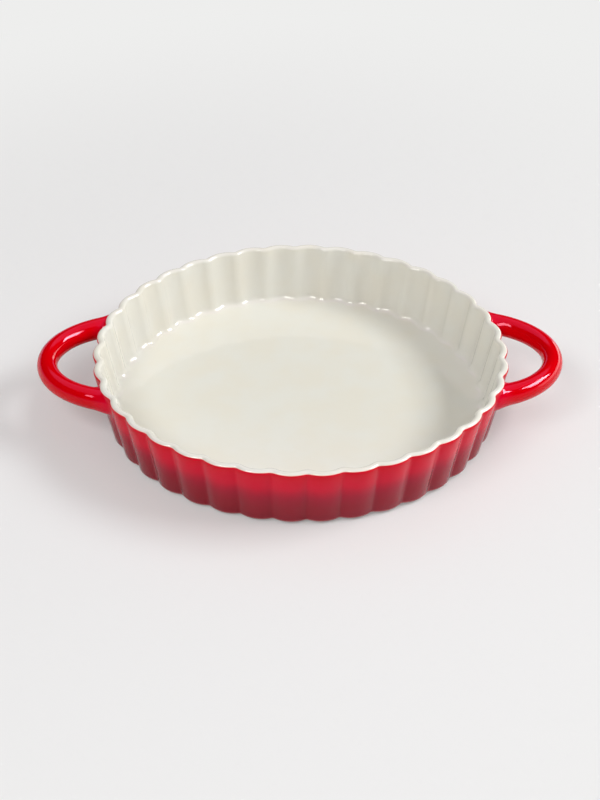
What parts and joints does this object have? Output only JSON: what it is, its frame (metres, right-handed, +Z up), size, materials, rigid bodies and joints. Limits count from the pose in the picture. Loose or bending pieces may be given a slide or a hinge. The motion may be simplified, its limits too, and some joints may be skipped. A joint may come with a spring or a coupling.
{
  "type": "baking dish",
  "caption": "Round stoneware baking dish with a fluted, outward leaning wall and two loop handles, glazed cream inside and red outside.",
  "frame": {"origin": "middle of the foot ring's footprint, on the table", "axes": "+Z up, out of the dish's mouth; +X through the middle of both handles; +Y across them"},
  "size_m": [0.3334, 0.2616, 0.0434],
  "materials": {
    "glaze": "gloss"
  },
  "bodies": {
    "root": {"baking_dish": "glaze"}
  },
  "joints": []
}
